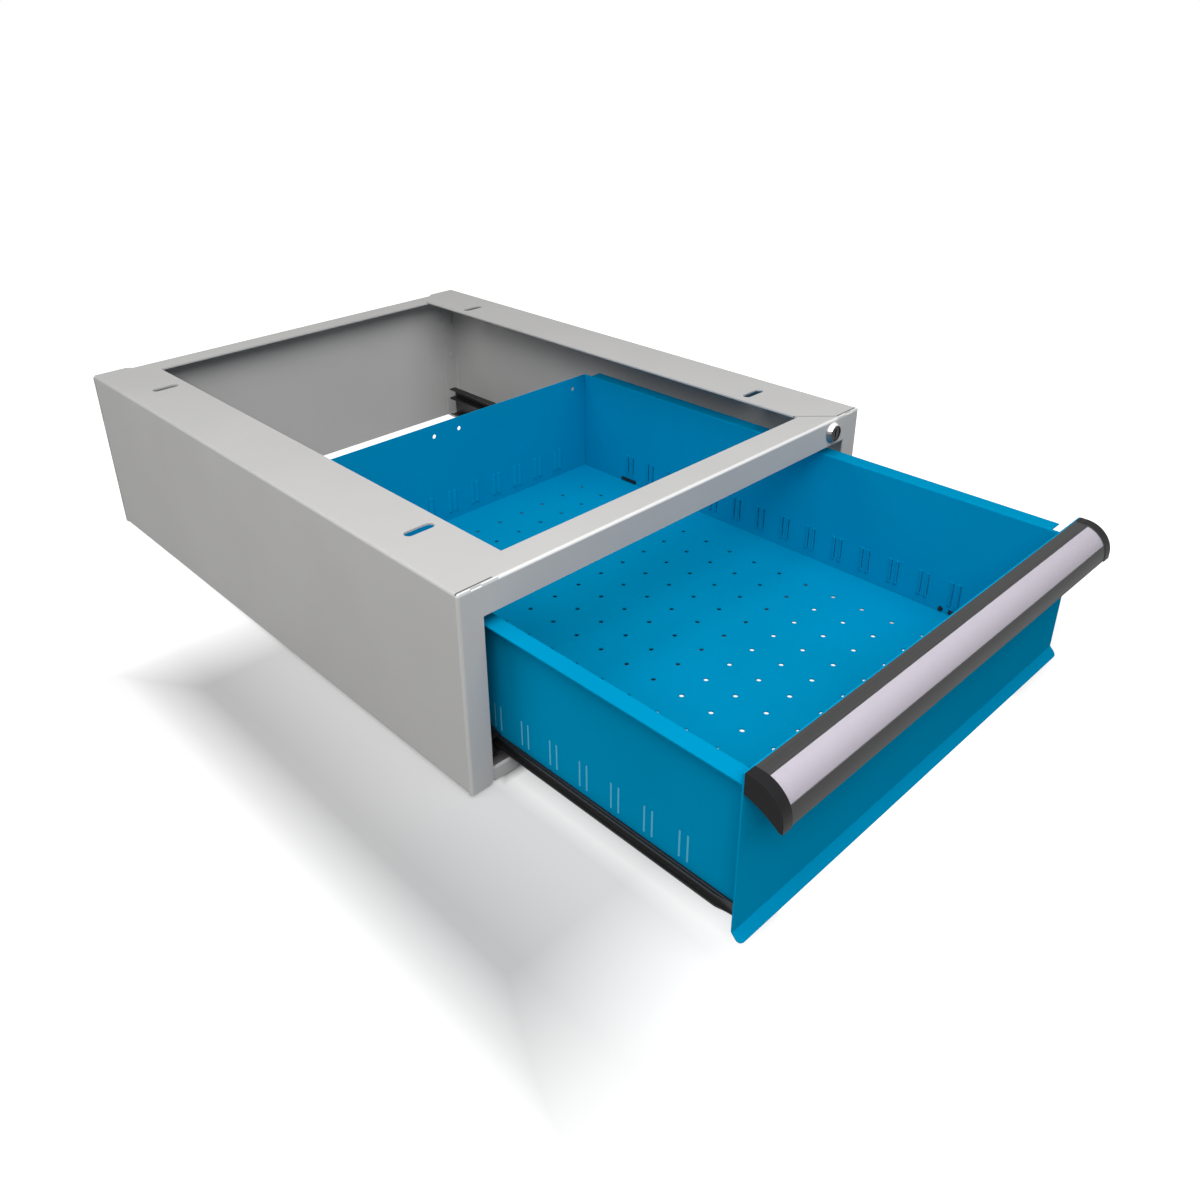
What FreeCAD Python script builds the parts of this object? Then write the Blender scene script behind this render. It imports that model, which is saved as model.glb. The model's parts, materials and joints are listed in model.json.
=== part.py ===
import FreeCAD, Part
import math
import os

# Under-bench drawer unit: an open sheet-metal housing with four slots in its top flanges,
# a perforated drawer on two telescopic ball slides, a full-width handle and a cam lock.
# Millimetres. X to the right, Y to the back, Z up. The origin is the centre of the top face.

V = FreeCAD.Vector

# Housing sizes
housing_width = 450.0
housing_depth = 590.0
housing_height = 163.0
housing_sheet = 1.5
housing_bend = 1.0
top_flange = 57.0
mitre_start = 33.5
front_flange = 20.0
rear_flange = 20.0
bottom_flange = 20.0
flange_corner = 4.5
front_rail_height = 24.0
sill_height = 12.0
sill_depth = 25.0
sill_end_gap = 2.0
sill_slide_gap = 4.0
rear_top_flange = 27.0
seam = 0.15
relief_width = 3.0
relief_length = 11.0
relief_notch = 9.0

# Mounting slots in the top flanges
slot_from_side = 36.0
slot_from_end = 89.0
slot_length = 25.0
slot_width = 8.0

# Drawer sizes
drawer_open = 208.4
intermediate_open = 3.0
panel_side_gap = 2.7
panel_top_gap = 1.5
panel_sheet = 1.2
panel_bend_height = 10.0
lip_reach = 6.0
lip_corner = 4.0
drawer_sheet = 1.0
drawer_bend = 0.3
drawer_edge_gap = 0.4
foot_width = 12.0
rear_tab_width = 12.0
rear_tab_root = 3.0
rear_tab_margin = 8.0
drawer_beyond_slide = 16.8
drawer_top_drop = 34.9
drawer_top_flange = 12.7
flange_rear_setback = 9.0
flange_lock_setback = 12.0
floor_above_sill = 10.0

# Perforation and louvres share one square grid
grid_pitch = 28.6
grid_front_margin = 20.8
grid_rear_margin = 25.0
grid_side_margin = 40.0
floor_hole_radius = 1.95
floor_hole_sides = 4
louvre_spacing = 6.5
louvre_hood_width = 5.6
louvre_hood_depth = 1.8
louvre_crest_shift = 1.2
louvre_slit_outside = 1.8
louvre_slit_inside = 1.0
louvre_slit_slant = 3.6
louvre_hood_overlap = 0.8
louvre_above_floor = 9.5
louvre_height = 21.0
rear_wall_hole_radius = 2.25
wall_hole_sides = 8
rear_wall_hole_drop = 12.0
rear_wall_hole_place = 15.0
rear_wall_hole_inset = 18.0

# Telescopic ball slides
slide_thickness = 12.7
slide_height = 24.0
slide_sheet = 1.2
slide_bend = 0.0
slide_front_setback = 12.0
slide_rear_setback = 28.0
slide_length_step = 50.0
slide_above_sill = 10.7
slide_side_gap = 4.3
drawer_member_setback = 4.2
cabinet_arm = 9.6
cabinet_head = 11.3
cabinet_head_setback = 10
cabinet_lip = 2.3
race_depth = 0.5
outer_ball_radius = 2.0
outer_ball_depth = 5.8
inner_ball_radius = 1.2
inner_ball_depth = 9.9
ball_clearance = 0.05
intermediate_sheet = 1.0
intermediate_web_depth = 2.6
intermediate_arm_end = 11.0
inner_race_depth = 0.35
drawer_member_arm_end = 8.5
drawer_member_nose = 16.0
cage_sheet = 0.4
cage_length = 220.0
cage_hole_gap = 0.1
cage_rim = 0.25
cage_web_gap = 0.4
balls_per_row = 3
ball_sides = 6
hook_height = 2.5
hook_length = 20.0
hook_gap = 0.4
hook_projection = 1.5
hook_from_front = 70.0
hook_from_rear = 49.0
hook_lift = 2.0
stud_place = 87.4
stud_radius = 2.0

# Small rivets and screws have few flat sides
fastener_sides = 6

# Brackets that carry the slides off the housing sides
bracket_sheet = 1.5
bracket_bend = 0.0
bracket_height = 20.0
bracket_leg = 24.0
bracket_end_setback = 14.0
rivet_radius = 2.0
rivet_head_radius = 3.6
rivet_head_height = 1.2
rivet_gap = 0.1
rivet_pitch = 9.0
panel_rivet_inset = 8.5
panel_rivet_drop = 84.0

# Handle
handle_flat = 5.0
handle_radius = 20.3
handle_tip_drop = 3.8
handle_tip_thickness = 1.8
handle_back_height = 13.2
handle_hollow_place = 12.0
handle_hollow_rise = 1.6
handle_wall = 1.8
cap_width = 8.5
cap_proud = 0.5
cap_spigot = 8.0
spigot_gap = 0.3
spigot_reach = 9.0
label_start = 12.0
label_end = 65.0
label_recess = 1.0
label_sheet = 0.3
cover_gap = 0.05
label_margin = 0.5
handle_screw_places = (60.0, 150.0)
screw_radius = 1.9
screw_head_radius = 3.5
screw_head_height = 2.0
screw_length = 6.0
screw_gap = 0.1

# Lock
lock_from_side = 39.5
lock_drop = 12.0
bezel_radius = 9.3
bezel_face_radius = 7.5
bezel_proud = 4.0
bezel_edge = 3.2
barrel_radius = 8.0
bezel_sides = 24
barrel_sides = 12
barrel_end_gap = 0.3
barrel_gap = 0.15
lock_nut_flats = 19.0
lock_nut_thickness = 4.0
plug_radius = 5.95
plug_gap = 0.05
plug_recess = 0.5
plug_tail = 7.0
key_slot_width = 1.4
key_slot_height = 7.5
key_slot_depth = 6.0
cam_reach = 21.0
cam_width = 14.0
cam_thickness = 2.0
cam_clearance = 0.5
cam_corner = 4.0
cam_screw_head_radius = 5.5

# Planes and edges that several pieces share
side_x = housing_width / 2
front_y = -housing_depth / 2
rear_y = housing_depth / 2
bottom_z = -housing_height
wall_x = side_x - housing_sheet
bend_outside = housing_bend + housing_sheet
opening_x = side_x - front_flange
sill_z = bottom_z + sill_height
rear_fold_y = rear_y - housing_sheet

panel_y = front_y - drawer_open
panel_back_y = panel_y + panel_sheet
panel_x = opening_x - panel_side_gap
panel_top_z = -front_rail_height - panel_top_gap
panel_bend_z = sill_z + panel_bend_height
floor_z = sill_z + floor_above_sill
drawer_top_z = -drawer_top_drop
slide_x = opening_x - slide_side_gap
drawer_outer_x = slide_x - slide_thickness
drawer_x = drawer_outer_x - drawer_sheet
cabinet_member_y = front_y + slide_front_setback
cabinet_member_length = housing_depth - slide_front_setback - slide_rear_setback
moving_member_length = cabinet_member_length - slide_length_step
stage_travel = moving_member_length / 2
drawer_inner_length = moving_member_length + drawer_beyond_slide
drawer_rear_y = panel_back_y + drawer_inner_length
grid_y = panel_y + grid_front_margin
louvre_bottom_z = floor_z + louvre_above_floor
louvre_top_z = louvre_bottom_z + louvre_height

slide_z = sill_z + slide_above_sill
half_slide = slide_height / 2
arm_inside = half_slide - slide_sheet
outer_ball_z = arm_inside + race_depth - outer_ball_radius - ball_clearance
half_intermediate = outer_ball_z - outer_ball_radius - ball_clearance + race_depth
intermediate_inside = half_intermediate - intermediate_sheet
inner_ball_z = intermediate_inside + inner_race_depth - inner_ball_radius - ball_clearance
half_drawer_member = inner_ball_z - inner_ball_radius - ball_clearance + inner_race_depth
intermediate_y = cabinet_member_y - intermediate_open
drawer_member_y = panel_back_y + drawer_member_setback
hook_z = slide_z + hook_lift
hook_places = (hook_from_front, moving_member_length - hook_from_rear)

lock_x = side_x - lock_from_side
lock_z = -lock_drop
nut_y = front_y + housing_sheet
cam_y = nut_y + lock_nut_thickness + cam_clearance
bezel_y = front_y - bezel_proud

nodes = {}


# Outlines, sheets and solids


def place(plane, a, b, depth):
    """Point of the outline (a, b) in a plane that lies at the given depth."""
    if plane == "xy":
        return V(a, b, depth)
    if plane == "xz":
        return V(a, depth, b)
    return V(depth, a, b)


def outline_face(corners, plane, depth):
    """Face of a closed outline. A corner is (a, b) or (a, b, radius)."""
    points = [V(corner[0], corner[1], 0) for corner in corners]
    radii = [corner[2] if len(corner) == 3 else 0 for corner in corners]
    count = len(points)
    edges = []
    starts = []
    ends = []
    middles = []
    for i in range(count):
        corner = points[i]
        before = (points[i - 1] - corner).normalize()
        after = (points[(i + 1) % count] - corner).normalize()
        if radii[i] == 0:
            starts.append(corner)
            ends.append(corner)
            middles.append(None)
            continue
        half_angle = before.getAngle(after) / 2
        reach = radii[i] / math.tan(half_angle)
        towards_centre = (before + after).normalize()
        centre_distance = radii[i] / math.sin(half_angle)
        starts.append(corner + before * reach)
        ends.append(corner + after * reach)
        middles.append(corner + towards_centre * (centre_distance - radii[i]))
    for i in range(count):
        start = place(plane, starts[i].x, starts[i].y, depth)
        end = place(plane, ends[i].x, ends[i].y, depth)
        if middles[i] is not None:
            middle = place(plane, middles[i].x, middles[i].y, depth)
            edges.append(Part.Arc(start, middle, end).toShape())
        following = starts[(i + 1) % count]
        next_start = place(plane, following.x, following.y, depth)
        if end.distanceToPoint(next_start) > 1e-6:
            edges.append(Part.LineSegment(end, next_start).toShape())
    return Part.Face(Part.Wire(edges))


def extrude(corners, plane, start, end):
    """Solid of a closed outline between two depths along the plane's normal."""
    direction = place(plane, 0, 0, end - start)
    return outline_face(corners, plane, start).extrude(direction)


def sideways(point, direction, distance):
    """Point moved to the left of a direction."""
    return V(point.x - direction.y * distance, point.y + direction.x * distance, 0)


def sheet_outline(path, thickness, inside_radius):
    """Closed outline of a folded sheet. The sheet lies to the left of the path, or to its
    right where the thickness is negative, and every fold has the same inside radius."""
    points = [V(a, b, 0) for a, b in path]
    directions = [(q - p).normalize() for p, q in zip(points, points[1:])]
    near = [(points[0].x, points[0].y)]
    first = sideways(points[0], directions[0], thickness)
    far = [(first.x, first.y)]
    for i in range(1, len(points) - 1):
        before = directions[i - 1]
        after = directions[i]
        turn = before.x * after.y - before.y * after.x
        half_turn = math.atan2(turn, before.dot(after)) / 2
        bisector = (before + after).normalize()
        moved = sideways(points[i], bisector, thickness / math.cos(half_turn))
        near_radius = inside_radius
        far_radius = inside_radius
        if turn * thickness > 0:
            near_radius += abs(thickness)
        else:
            far_radius += abs(thickness)
        near.append((points[i].x, points[i].y, near_radius))
        far.append((moved.x, moved.y, far_radius))
    last = sideways(points[-1], directions[-1], thickness)
    near.append((points[-1].x, points[-1].y))
    far.append((last.x, last.y))
    return near + far[::-1]


def sheet(path, thickness, inside_radius, plane, start, end):
    """Folded sheet of one section along the plane's normal."""
    return extrude(sheet_outline(path, thickness, inside_radius), plane, start, end)


def block(x, y, z):
    """Box between pairs of limits."""
    size = [abs(pair[1] - pair[0]) for pair in (x, y, z)]
    return Part.makeBox(*size, V(min(x), min(y), min(z)))


def rod(radius, start, end):
    """Cylinder between two points."""
    return Part.makeCylinder(radius, (end - start).Length, start, end - start)


def prism(sides, radius, start, end, turn=0.0):
    """Regular prism between two points. Its first corner is turned from the upright, or from the
    X axis where the prism itself is upright."""
    along = end - start
    across = V(1, 0, 0) if abs(along.z) > along.Length / 2 else V(0, 0, 1)
    sideward = along.cross(across).normalize()
    points = []
    for i in range(sides):
        angle = 2 * math.pi * i / sides + turn
        points.append(start + across * (radius * math.cos(angle)) + sideward * (radius * math.sin(angle)))
    return Part.Face(Part.makePolygon(points + [points[0]])).extrude(along)


def tapered(sides, start_radius, end_radius, start, end):
    """Regular prism that widens or narrows towards its end."""
    wires = [prism(sides, radius, at, at + (end - start)).Faces
             for radius, at in ((start_radius, start), (end_radius, end))]
    rings = []
    for faces, at in zip(wires, (start, end)):
        rings += [face.OuterWire for face in faces if face.CenterOfMass.distanceToPoint(at) < 1e-6]
    return Part.makeLoft(rings, True, True)


def fastener(point, direction, head_radius, head_height, shank_radius, length):
    """Rivet or screw whose head rests on the point and whose shank runs along the direction."""
    head = prism(fastener_sides, head_radius, point - direction * head_height, point)
    shank = prism(fastener_sides, shank_radius, point, point + direction * length)
    return joined([head, shank])


def fastener_hole(radius, start, end):
    """Clearance hole with as many sides as the shank in it."""
    return prism(fastener_sides, radius, start, end)


def mirrored(shape):
    """The same piece on the other side of the unit."""
    return shape.mirror(V(0, 0, 0), V(1, 0, 0))


def joined(shapes):
    """One solid of pieces that meet."""
    return shapes[0].fuse(shapes[1:]).removeSplitter()


def both_sides(name, right_shape):
    """A right piece and its mirror image on the left."""
    nodes[name + "_right"] = right_shape
    nodes[name + "_left"] = mirrored(right_shape)


# Housing


def mounting_slot(x, y):
    straight = slot_length / 2
    half = slot_width / 2
    corners = [
        (x - straight, y - half, half * 0.999),
        (x + straight, y - half, half * 0.999),
        (x + straight, y + half, half * 0.999),
        (x - straight, y + half, half * 0.999),
    ]
    return extrude(corners, "xy", -2 * housing_sheet, housing_sheet)


def housing_side():
    """Right side sheet with its four flanges."""
    flange_front = front_y + housing_sheet + seam
    section = [
        (side_x - bottom_flange, bottom_z),
        (side_x, bottom_z),
        (side_x, 0),
        (side_x - top_flange, 0),
    ]
    body = sheet(section, housing_sheet, housing_bend, "xz", flange_front, rear_fold_y - seam)
    front_bend = [
        (side_x - bend_outside, front_y),
        (side_x, front_y),
        (side_x, front_y + bend_outside),
    ]
    rear_bend = [
        (side_x, rear_fold_y - bend_outside),
        (side_x, rear_fold_y),
        (side_x - bend_outside, rear_fold_y),
    ]
    return_top = -2 * housing_sheet - housing_bend - seam
    folds = [
        sheet(front_bend, housing_sheet, housing_bend, "xy", bottom_z, 0),
        sheet(rear_bend, housing_sheet, housing_bend, "xy", bottom_z, 0),
    ]
    notch_x = side_x - front_flange + relief_notch
    front_plate = [
        (side_x - bend_outside, 0),
        (notch_x, 0),
        (notch_x, -housing_sheet),
        (opening_x, -housing_sheet),
        (opening_x, bottom_z, flange_corner),
        (side_x - bend_outside, bottom_z),
    ]
    flange_x = side_x - rear_flange
    slit_top = return_top - 2 * relief_length
    corner_slit_top = slit_top - relief_length / 2
    rear_plate = [
        (side_x - bend_outside, return_top),
        (flange_x, return_top),
        (flange_x, slit_top),
        (flange_x + relief_width, slit_top),
        (flange_x + relief_width, slit_top - relief_length),
        (flange_x, slit_top - relief_length),
        (flange_x, bottom_z),
        (side_x - bend_outside, bottom_z),
    ]
    plates = [
        extrude(front_plate, "xz", front_y, front_y + housing_sheet),
        extrude(rear_plate, "xz", rear_fold_y - housing_sheet, rear_fold_y),
    ]
    shape = joined([body] + folds + plates)
    rounded_plan = [
        (side_x, front_y, bend_outside),
        (side_x, rear_fold_y, bend_outside),
        (0, rear_fold_y),
        (0, front_y),
    ]
    rounded_front = [(side_x, 0, bend_outside), (0, 0), (0, bottom_z), (side_x, bottom_z)]
    shape = shape.common(extrude(rounded_plan, "xy", bottom_z, 0))
    shape = shape.common(extrude(rounded_front, "xz", front_y, rear_fold_y))
    front_mitre = [
        (side_x - mitre_start, front_y + housing_sheet),
        (side_x - mitre_start - housing_depth, front_y + housing_sheet),
        (side_x - mitre_start - housing_depth, front_y + housing_sheet + housing_depth),
    ]
    rear_mitre = [
        (side_x - mitre_start, rear_fold_y),
        (side_x - mitre_start - housing_depth, rear_fold_y),
        (side_x - mitre_start - housing_depth, rear_fold_y - housing_depth),
    ]
    cuts = [extrude(outline, "xy", -2 * housing_sheet, 1) for outline in (front_mitre, rear_mitre)]
    slot_y = rear_y - slot_from_end
    cuts += [mounting_slot(side_x - slot_from_side, y) for y in (-slot_y, slot_y)]
    relief_x = side_x - bend_outside - seam
    cuts.append(block((relief_x, relief_x - relief_width),
                      (rear_fold_y - 2 * housing_sheet, rear_y),
                      (corner_slit_top, corner_slit_top - relief_length)))
    cuts.append(rear_rivet_hole(1))
    return shape.cut(cuts)


def rear_rivet_place(side):
    return side * (side_x - panel_rivet_inset), -panel_rivet_drop


def rear_rivet_hole(side):
    x, z = rear_rivet_place(side)
    start = V(x, rear_y - 3 * housing_sheet, z)
    return fastener_hole(rivet_radius + rivet_gap, start, V(x, rear_y + 1, z))


def rivet(point, direction, grip):
    return fastener(point, direction, rivet_head_radius, rivet_head_height, rivet_radius, grip)


def make_housing():
    both_sides("housing_side", housing_side())
    make_front_rail()
    make_bottom_rail()
    make_rear_panel()


def make_front_rail():
    flange_depth = top_flange - mitre_start + housing_sheet
    section = [(front_y + flange_depth, 0), (front_y, 0), (front_y, -front_rail_height)]
    fold_x = side_x - mitre_start
    flange_x = side_x - top_flange
    plan = [
        (-fold_x, front_y),
        (fold_x, front_y),
        (fold_x, front_y + housing_sheet),
        (flange_x, front_y + flange_depth),
        (-flange_x, front_y + flange_depth),
        (-fold_x, front_y + housing_sheet),
    ]
    rail = sheet(section, housing_sheet, housing_bend, "yz", -fold_x, fold_x)
    rail = rail.common(extrude(plan, "xy", -front_rail_height, 0))
    face_y = (front_y, front_y + housing_sheet)
    ends = [block((side * fold_x, side * opening_x), face_y, (-front_rail_height, 0)) for side in (-1, 1)]
    rail = joined([rail] + ends)
    hole_start = V(lock_x, front_y - 1, lock_z)
    hole_end = V(lock_x, front_y + 2 * housing_sheet, lock_z)
    lock_hole = prism(barrel_sides, barrel_radius + barrel_gap, hole_start, hole_end)
    nodes["housing_front_rail"] = rail.cut(lock_hole)


def make_bottom_rail():
    """Sill that stands one sheet behind the front flanges."""
    face_y = front_y + housing_sheet
    section = [(face_y + sill_depth, sill_z), (face_y, sill_z), (face_y, bottom_z)]
    end_x = wall_x - housing_bend - seam
    rail = sheet(section, housing_sheet, housing_bend, "yz", -end_x, end_x)
    free_x = side_x - bottom_flange - sill_end_gap
    flange_end_x = drawer_outer_x - sill_slide_gap
    lift_z = bottom_z + housing_sheet + seam
    cuts = []
    for side in (-1, 1):
        beyond = side * side_x
        cuts.append(block((side * free_x, beyond), (front_y, 0), (bottom_z - 1, lift_z)))
        behind_face = face_y + housing_sheet
        cuts.append(block((side * flange_end_x, beyond), (behind_face, 0), (bottom_z, sill_z + 1)))
    nodes["housing_bottom_rail"] = rail.cut(cuts)


def make_rear_panel():
    """Back sheet whose top flange lies one sheet below the side flanges."""
    top_z = -housing_sheet
    section = [(rear_y, bottom_z), (rear_y, top_z), (rear_y - rear_top_flange, top_z)]
    panel = sheet(section, housing_sheet, housing_bend, "yz", -side_x, side_x)
    clear_x = wall_x - housing_bend - seam
    cuts = []
    for side in (-1, 1):
        cuts.append(block((side * clear_x, side * (side_x + 1)), (0, rear_fold_y), (top_z + 1, bottom_z)))
        cuts.append(rear_rivet_hole(side))
    nodes["housing_rear_panel"] = panel.cut(cuts)
    head_y = rear_fold_y - housing_sheet
    rivets = []
    for side in (-1, 1):
        x, z = rear_rivet_place(side)
        rivets.append(rivet(V(x, head_y, z), V(0, 1, 0), 2 * housing_sheet))
    nodes["rear_panel_rivets"] = Part.makeCompound(rivets)


# Drawer


def louvre_hoods(x):
    """Outlines of the hood and the slanting slit of each louvre in a pair, in the right wall.

    A louvre is pressed inwards and opens towards its front edge.
    """
    outlines = []
    half_hood = louvre_hood_width / 2
    crest_x = x - louvre_hood_depth
    slit_end_x = crest_x - seam
    for centre in (-louvre_spacing / 2, louvre_spacing / 2):
        hood = [(x, centre - half_hood), (crest_x, centre - louvre_crest_shift), (x, centre + half_hood)]
        slit_start = centre - louvre_crest_shift / 2
        slit_end = slit_start - louvre_slit_slant
        slit = [
            (x + drawer_sheet, slit_start),
            (x + drawer_sheet, slit_start + louvre_slit_outside),
            (slit_end_x, slit_end + louvre_slit_inside),
            (slit_end_x, slit_end),
        ]
        outlines.append((hood, slit))
    return outlines


def side_louvres(y):
    """Hoods and slits of one louvre pair in the right wall."""
    hoods = []
    slits = []
    for hood, slit in louvre_hoods(drawer_x):
        placed_hood = [(a, y + b) for a, b in hood]
        placed_slit = [(a, y + b) for a, b in slit]
        hoods.append(extrude(placed_hood, "xy", louvre_bottom_z - louvre_hood_overlap,
                             louvre_top_z + louvre_hood_overlap))
        slits.append(extrude(placed_slit, "xy", louvre_bottom_z, louvre_top_z))
    return hoods, slits


def rear_louvres(x):
    """Hoods and slits of one louvre pair in the rear wall."""
    hoods = []
    slits = []
    for hood, slit in louvre_hoods(drawer_rear_y):
        placed_hood = [(x - b, a) for a, b in hood]
        placed_slit = [(x - b, a) for a, b in slit]
        hoods.append(extrude(placed_hood, "xy", louvre_bottom_z - louvre_hood_overlap,
                             louvre_top_z + louvre_hood_overlap))
        slits.append(extrude(placed_slit, "xy", louvre_bottom_z, louvre_top_z))
    return hoods, slits


def grid_columns():
    """Columns of the perforation that fit between the side margins, even about the middle."""
    per_side = int((drawer_x - grid_side_margin) / grid_pitch)
    return [grid_pitch * i for i in range(-per_side, per_side + 1)]


def grid_rows():
    """Rows of the perforation that fit between the front and rear margins."""
    count = int((drawer_rear_y - grid_rear_margin - grid_y) / grid_pitch) + 1
    return [grid_y + grid_pitch * i for i in range(count)]


def slide_cut_outs():
    """Hook slots and stud hole of the right wall."""
    x = (drawer_x - 1, drawer_outer_x + 1)
    cuts = []
    half_length = hook_length / 2 + hook_gap
    half_height = hook_height / 2 + hook_gap
    for hook_place in hook_places:
        y = panel_y + hook_place
        cuts.append(block(x, (y - half_length, y + half_length),
                          (hook_z - half_height, hook_z + half_height)))
    y = panel_y + stud_place
    cuts.append(prism(fastener_sides, stud_radius + hook_gap, V(x[0], y, hook_z), V(x[1], y, hook_z)))
    return cuts


def drawer_side(has_lock_gap):
    """Right side sheet: out-turned top flange, wall, and a foot that the floor is welded on."""
    flange_x = drawer_outer_x + drawer_top_flange
    foot_z = floor_z - drawer_sheet
    section = [
        (flange_x, drawer_top_z),
        (drawer_x, drawer_top_z),
        (drawer_x, foot_z),
        (drawer_x - foot_width, foot_z),
    ]
    side_end = drawer_rear_y + drawer_sheet
    side = sheet(section, drawer_sheet, drawer_bend, "xz", panel_back_y, side_end)
    beyond_flange = flange_x + 1
    flange_z = (drawer_top_z + 1, drawer_top_z - 2 * drawer_sheet)
    cuts = slide_cut_outs()
    cuts.append(block((drawer_outer_x, beyond_flange),
                      (drawer_rear_y - flange_rear_setback, side_end + 1), flange_z))
    if has_lock_gap:
        cuts.append(block((drawer_outer_x, beyond_flange),
                          (panel_back_y - 1, panel_back_y + flange_lock_setback), flange_z))
    tab = [
        (drawer_x, side_end - rear_tab_root),
        (drawer_x, side_end),
        (drawer_x - rear_tab_width, side_end),
    ]
    additions = [sheet(tab, -drawer_sheet, drawer_bend, "xy", floor_z + rear_tab_margin,
                       drawer_top_z - rear_tab_margin)]
    for y in grid_rows()[1:-1]:
        hoods, slits = side_louvres(y)
        additions += hoods
        cuts += slits
    return side.fuse(additions).cut(cuts)


def make_drawer_sides():
    nodes["drawer_side_right"] = drawer_side(True)
    nodes["drawer_side_left"] = mirrored(drawer_side(False))


def make_floor():
    """Perforated floor between the side sheets."""
    edge_x = drawer_x - drawer_edge_gap
    floor = block((-edge_x, edge_x), (panel_back_y, drawer_rear_y + drawer_sheet),
                  (floor_z - drawer_sheet, floor_z))
    holes = []
    for x in grid_columns():
        for y in grid_rows():
            holes.append(prism(floor_hole_sides, floor_hole_radius, V(x, y, floor_z - drawer_sheet),
                               V(x, y, floor_z)))
    nodes["drawer_floor"] = floor.cut(holes)


def make_rear_wall():
    edge_x = drawer_x - drawer_edge_gap
    wall = block((-edge_x, edge_x), (drawer_rear_y, drawer_rear_y + drawer_sheet), (floor_z, drawer_top_z))
    additions = []
    cuts = []
    for x in grid_columns():
        hoods, slits = rear_louvres(x)
        additions += hoods
        cuts += slits
    hole_z = drawer_top_z - rear_wall_hole_drop
    for place_x in (rear_wall_hole_place, drawer_x - rear_wall_hole_inset):
        for x in (-place_x, place_x):
            start = V(x, drawer_rear_y - 1, hole_z)
            end = V(x, drawer_rear_y + 2 * drawer_sheet, hole_z)
            cuts.append(prism(wall_hole_sides, rear_wall_hole_radius, start, end))
    nodes["drawer_rear_wall"] = wall.fuse(additions).cut(cuts)


def make_front_panel():
    """Front sheet with a lip folded 45 degrees forward."""
    section = [
        (panel_y - lip_reach, panel_bend_z - lip_reach),
        (panel_y, panel_bend_z),
        (panel_y, panel_top_z),
    ]
    panel = sheet(section, -panel_sheet, housing_bend, "yz", -panel_x, panel_x)
    lip_z = panel_bend_z - lip_reach
    corner_edges = []
    for edge in panel.Edges:
        centre = edge.CenterOfMass
        at_end = abs(abs(centre.x) - panel_x) < 0.01
        if at_end and edge.Length < 2 * panel_sheet and centre.z < lip_z + panel_sheet:
            corner_edges.append(edge)
    panel = panel.makeFillet(lip_corner, corner_edges)
    holes = [handle_screw_hole(x) for x in handle_screw_xs()]
    nodes["drawer_front_panel"] = panel.cut(holes)


# Handle


def handle_face(x):
    """Solid outline of the handle in front of the drawer panel."""
    top = panel_top_z
    centre_y = panel_y - handle_flat
    centre_z = top - handle_radius
    front = centre_y - handle_radius
    tip_z = centre_z - handle_tip_drop
    slope = math.sqrt(0.5)
    crown = V(x, centre_y - handle_radius * slope, centre_z + handle_radius * slope)
    back_z = top - handle_back_height
    under = V(x, panel_y - handle_hollow_place, (tip_z + back_z) / 2 + handle_hollow_rise)
    points = [
        V(x, panel_y, top),
        V(x, centre_y, top),
        V(x, front, centre_z),
        V(x, front, tip_z),
        V(x, front + handle_tip_thickness, tip_z),
        V(x, panel_y, back_z),
    ]
    edges = [
        Part.LineSegment(points[0], points[1]).toShape(),
        Part.Arc(points[1], crown, points[2]).toShape(),
        Part.LineSegment(points[2], points[3]).toShape(),
        Part.LineSegment(points[3], points[4]).toShape(),
        Part.Arc(points[4], under, points[5]).toShape(),
        Part.LineSegment(points[5], points[0]).toShape(),
    ]
    return Part.Face(Part.Wire(edges))


def handle_solid(grow, start, end):
    """Handle outline grown or shrunk by an even amount, between two places along X."""
    face = handle_face(start)
    if grow != 0:
        face = face.makeOffset2D(grow, 2)
        if not face.Faces:
            face = Part.Face(face.Wires[0])
    solid = face.extrude(V(end - start, 0, 0))
    in_front = block((start, end), (panel_y, panel_y - 2 * handle_radius), (0, bottom_z))
    return solid.common(in_front)


def arc_band(inner, outer, start_angle, end_angle, x_start, x_end):
    """Part of a tube round the handle's arc. Angles are from the top towards the front."""
    centre_y = panel_y - handle_flat
    centre_z = panel_top_z - handle_radius

    def at(radius, degrees):
        angle = math.radians(degrees)
        return V(x_start, centre_y - radius * math.sin(angle), centre_z + radius * math.cos(angle))

    middle = (start_angle + end_angle) / 2
    edges = [
        Part.Arc(at(outer, start_angle), at(outer, middle), at(outer, end_angle)).toShape(),
        Part.LineSegment(at(outer, end_angle), at(inner, end_angle)).toShape(),
        Part.Arc(at(inner, end_angle), at(inner, middle), at(inner, start_angle)).toShape(),
        Part.LineSegment(at(inner, start_angle), at(outer, start_angle)).toShape(),
    ]
    return Part.Face(Part.Wire(edges)).extrude(V(x_end - x_start, 0, 0))


def handle_screw_xs():
    return [side * x for x in handle_screw_places for side in (-1, 1)]


def handle_screw_z():
    return panel_top_z - handle_back_height / 2


def handle_screw_hole(x):
    z = handle_screw_z()
    return fastener_hole(screw_radius + screw_gap, V(x, panel_back_y + 1, z),
                         V(x, panel_y - 2 * handle_wall, z))


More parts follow.
